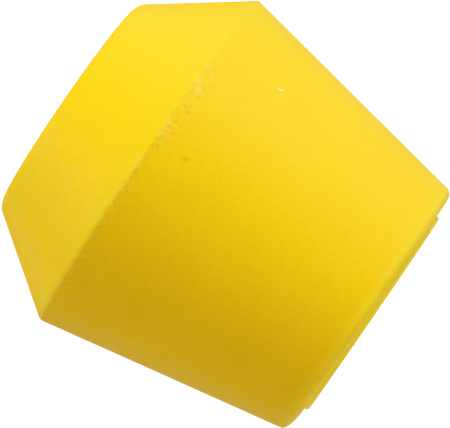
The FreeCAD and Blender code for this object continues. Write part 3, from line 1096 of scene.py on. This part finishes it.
def marked(tree, place, colour):
    """Stains and specks, painted shade in dimples under the ridge and painted glints, with uneven
    edges.
    """
    ragged = node(tree, "TexNoise", {"Vector": place, "Scale": 1 / (0.22 * MM)}).outputs["Color"]
    push = vector_calc(tree, "SUBTRACT", ragged, (0.5, 0.5, 0.5))[0]
    push = node(tree, "VectorMath", {0: push, "Scale": 0.35 * MM}, operation="SCALE").outputs[0]
    near = vector_calc(tree, "ADD", place, push)[0]
    speckled = fade(tree, grain(tree, place, 0.3 * MM, 2), 0.42, 0.58, 0.25, 1.0)
    for turn, z, across, tint, strength in MARKS:
        away = distance_to(tree, near, skin_place(turn, z * MM))
        dab = fade(tree, away, across * 0.7 * MM, across * 0.25 * MM, 0.0, strength)
        # the painted glints are broken into speckles
        if tint == PALE:
            dab = product(tree, dab, speckled)
        colour = mixed(tree, dab, colour, tint)
    return colour


def curved_fleck(tree, place, colour):
    """The curved pale fleck: part of a circle on the skin."""
    turn, z = FLECK
    away = distance_to(tree, place, skin_place(turn, z * MM))
    middle = skin_place(turn + FLECK_BEND[0], z * MM + FLECK_BEND[1] * MM)
    off_ring = calc(tree, "ABSOLUTE", calc(tree, "SUBTRACT", distance_to(tree, place, middle), FLECK_R))
    ring = fade(tree, off_ring, 1.6 * FLECK_W, 0.5 * FLECK_W)
    near = fade(tree, away, 0.6 * MM, 0.42 * MM, 0.0, FLECK_STRENGTH)
    return mixed(tree, product(tree, ring, near), colour, FLECK_COLOUR)


def make_yellow():
    """The moulded plastic of both shells and the plug, with its wear and marks, and with painted light
    and shade: sheen on the lit side, a glow above the ridge, bounce light round the foot, highlights on
    the ridge and the bubbles, glints, and shade in the pits, the bubble hollows and the dimples.
    """
    finish, tree, shader = new_finish("moulded_yellow")
    place = node(tree, "TexCoord", {}).outputs["Object"]
    split = node(tree, "SeparateXYZ", {"Vector": place}).outputs
    x, y, height = split["X"], split["Y"], split["Z"]
    rubbed_and_highlit = ridge_rub_and_highlight(tree, place, x, height)
    froth = froth_share(tree, place, x, height)
    bubbles = cells(tree, place, BUBBLE)

    colour = mottled(tree, place)
    # painted sheen on the lit side and a painted glow above the ridge
    colour = painted_sheen_and_glow(tree, x, height, colour)
    # painted bounce light round the foot and the seat
    colour = painted_foot_light(tree, x, height, colour)
    colour = flow_lined(tree, place, x, height, colour)
    # painted highlight along the ridge, with its real wear
    colour = mixed(tree, rubbed_and_highlit, colour, RUBBED_AND_HIGHLIT)
    # painted shade: deeper colour down in the pits
    colour = mixed(tree, pit_shade_share(tree, x, y, height), colour, DEEP)
    # painted highlight on the bubble walls and painted shade in their hollows
    colour = bubble_highlight_and_shade(tree, froth, bubbles, colour)
    colour = pricked(tree, place, x, colour)
    colour = marked(tree, place, colour)
    colour = curved_fleck(tree, place, colour)
    tree.links.new(colour, shader.inputs["Base Color"])

    roughness = fade(tree, grain(tree, place, 1.5 * MM, 3), 0.3, 0.7, 0.44, 0.58)
    roughness = calc(tree, "SUBTRACT", roughness, product(tree, rubbed_and_highlit, 0.15))
    tree.links.new(roughness, shader.inputs["Roughness"])
    shader.inputs["Specular IOR Level"].default_value = PLASTIC_SPECULAR

    peel = product(tree, grain(tree, place, 0.32 * MM, 2), 0.5)
    peel = calc(tree, "ADD", peel, grain(tree, place, 1.3 * MM, 2))
    peel = calc(tree, "ADD", peel, product(tree, froth, bubbles))
    bumps(tree, shader, peel, PLASTIC_BUMP)
    return finish


def make_rubber():
    """Black seal rubber with a dusty, slightly pimpled skin."""
    finish, tree, shader = new_finish("seal_rubber")
    place = node(tree, "TexCoord", {}).outputs["Object"]
    dust = grain(tree, place, 1.2 * MM, 4)
    colour = lit_by(tree, (0.022, 0.021, 0.020, 1), dust, 0.7, 1.6)
    tree.links.new(colour, shader.inputs["Base Color"])
    tree.links.new(fade(tree, dust, 0.3, 0.7, 0.55, 0.8), shader.inputs["Roughness"])
    bumps(tree, shader, grain(tree, place, 0.2 * MM), 0.02 * MM)
    return finish


def make_steel(name, tint, mark_stretch, low, high):
    """Bare or plated steel; its tool marks run the way that the stretch says."""
    finish, tree, shader = new_finish(name)
    place = node(tree, "TexCoord", {}).outputs["Object"]
    colour = lit_by(tree, tint, grain(tree, place, 2.5 * MM, 4), 0.85, 1.1)
    marks = grain(tree, place, 0.5 * MM, 3, stretch=mark_stretch)
    colour = lit_by(tree, colour, marks, 0.9, 1.08)
    tree.links.new(colour, shader.inputs["Base Color"])
    shader.inputs["Metallic"].default_value = 1.0
    tree.links.new(fade(tree, marks, 0.3, 0.7, low, high), shader.inputs["Roughness"])
    bumps(tree, shader, marks, 0.012 * MM)
    return finish


def make_filler():
    """Cast resin with sand grains showing in it."""
    finish, tree, shader = new_finish("resin_and_sand")
    place = node(tree, "TexCoord", {}).outputs["Object"]
    sand = node(tree, "TexVoronoi", {"Vector": place, "Scale": 1 / (0.7 * MM)}).outputs
    grey = node(tree, "SeparateColor", {"Color": sand["Color"]}).outputs["Red"]
    colour = mixed(tree, grey, (0.22, 0.19, 0.15, 1), (0.55, 0.48, 0.38, 1))
    dark = fade(tree, sand["Distance"], 0.55, 0.75)
    colour = mixed(tree, dark, colour, (0.12, 0.10, 0.08, 1))
    colour = lit_by(tree, colour, grain(tree, place, 5 * MM, 4), 0.85, 1.15)
    tree.links.new(colour, shader.inputs["Base Color"])
    tree.links.new(fade(tree, grey, 0.0, 1.0, 0.6, 0.9), shader.inputs["Roughness"])
    bumps(tree, shader, calc(tree, "SUBTRACT", 1.0, sand["Distance"]), 0.06 * MM)
    return finish


# ---- studio -----------------------------------------------------------------------------------
def aimed(place, target, up=Vector((0, 0, 1))):
    """Matrix that puts a camera or lamp at place, looking at target."""
    forward = (target - place).normalized()
    right = forward.cross(up).normalized()
    upward = right.cross(forward)
    turn = Matrix((right, upward, -forward)).transposed().to_4x4()
    return Matrix.Translation(place) @ turn


def softbox(name, azimuth_deg, elevation, distance, size, strength):
    """Square lamp aimed at the marker's middle. Azimuth 0 is in front, 90 on the +X side.

    Its strength is the radiance of its face.
    """
    lamp = bpy.data.lights.new(name, "AREA")
    lamp.shape = "SQUARE"
    lamp.size = size
    lamp.energy = strength * (math.pi * size) ** 2 / math.pi
    side, rise = math.radians(azimuth_deg), math.radians(elevation)
    middle = Vector((0, 0, TOP_Z / 2))
    out = Vector((math.sin(side) * math.cos(rise), -math.cos(side) * math.cos(rise), math.sin(rise)))
    holder = bpy.data.objects.new(name, lamp)
    bpy.context.scene.collection.objects.link(holder)
    holder.matrix_world = aimed(middle + out * distance, middle, Vector((0.01, 1, 0.02)))


def make_backdrop():
    """White all round for the camera, and an even fill for the marker."""
    world = bpy.data.worlds.new("studio")
    bpy.context.scene.world = world
    world.use_nodes = True
    tree = world.node_tree
    tree.nodes.clear()
    seen = node(tree, "LightPath", {}).outputs["Is Camera Ray"]
    fill = node(tree, "Background", {"Strength": WORLD_FILL}).outputs[0]
    white = node(tree, "Background", {"Color": (1, 1, 1, 1), "Strength": BACKDROP_SEEN}).outputs[0]
    mix = node(tree, "MixShader", {0: seen, 1: fill, 2: white}).outputs[0]
    node(tree, "OutputWorld", {"Surface": mix})


def make_floor():
    deselect_all()
    bpy.ops.mesh.primitive_plane_add(size=1.6, location=(0, 0, -FLOOR_DROP))
    floor = named(bpy.context.active_object, "studio_floor")
    finish, tree, shader = new_finish("pale_floor")
    seen = node(tree, "LightPath", {}).outputs["Is Camera Ray"]
    bounce = (FLOOR_BOUNCE, FLOOR_BOUNCE, FLOOR_BOUNCE, 1)
    tone = mixed(tree, seen, bounce, (FLOOR_SEEN, FLOOR_SEEN, FLOOR_SEEN, 1))
    tree.links.new(tone, shader.inputs["Base Color"])
    glow = node(tree, "MapRange", {"Value": seen, "To Min": FLOOR_GLOW, "To Max": FLOOR_SEEN_GLOW})
    tree.links.new(glow.outputs["Result"], shader.inputs["Emission Strength"])
    shader.inputs["Emission Color"].default_value = (1, 1, 1, 1)
    shader.inputs["Roughness"].default_value = 0.9
    shader.inputs["Specular IOR Level"].default_value = 0.0
    floor.data.materials.append(finish)


def set_response():
    """Bends the brightest tones over gently, as a camera does."""
    view = bpy.context.scene.view_settings
    view.view_transform = "Standard"
    view.use_curve_mapping = True
    curves = view.curve_mapping
    curves.clip_max_x = 2
    curves.clip_max_y = 2
    curve = curves.curves[3]
    curve.points[0].location = RESPONSE[0]
    curve.points[1].location = RESPONSE[-1]
    for dim, bright in RESPONSE[1:-1]:
        curve.points.new(dim, bright)
    curves.update()


def make_camera():
    camera = bpy.data.cameras.new("camera")
    holder = bpy.data.objects.new("camera", camera)
    bpy.context.scene.collection.objects.link(holder)
    camera.sensor_width = CAMERA_SENSOR
    camera.lens = CAMERA_LENS
    camera.clip_start = 0.01
    camera.clip_end = 20
    lean = math.radians(CAMERA_LEAN_DEG)
    up = Vector((math.sin(lean), 0, math.cos(lean)))
    holder.matrix_world = aimed(CAMERA_PLACE, CAMERA_TARGET, up)
    bpy.context.scene.camera = holder


# ---- putting it together ----------------------------------------------------------------------
def finish_piece(piece, material, cad_node):
    """Gives a new piece its finish, its shading and its place in the frame."""
    piece.data.materials.clear()
    piece.data.materials.append(material)
    choose(piece)
    bpy.ops.object.shade_smooth_by_angle(angle=math.radians(SHARP_DEG))
    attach(piece, "root")
    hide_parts(cad_node)


def finish_cad_node(name, material):
    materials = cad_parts[name].data.materials
    materials.clear()
    materials.append(material)


def main():
    yellow = make_yellow()
    turned_steel = make_steel("turned_steel", (0.50, 0.48, 0.45, 1), (0.3, 0.3, 6), 0.28, 0.42)
    plated_steel = make_steel("plated_steel", (0.66, 0.66, 0.64, 1), (1, 1, 1), 0.22, 0.36)
    rolled_steel = make_steel("rolled_steel", (0.42, 0.41, 0.40, 1), (0.2, 5, 5), 0.35, 0.5)
    rubber = make_rubber()
    finish_piece(make_crown(), yellow, "crown_cap")
    finish_piece(make_shank(), yellow, "shank_body")
    finish_piece(make_plug(), yellow, "base_plug")
    finish_piece(make_screws(), plated_steel, "plug_screws")
    finish_piece(make_anchor(), turned_steel, "anchor_insert")
    for name in ("crown_seal", "plug_seal", "insert_seal"):
        finish_cad_node(name, rubber)
    finish_cad_node("spreader_plate", rolled_steel)
    finish_cad_node("filler_core", make_filler())
    make_backdrop()
    make_floor()
    for lamp in LAMPS:
        softbox(*lamp)
    make_camera()
    set_response()


main()
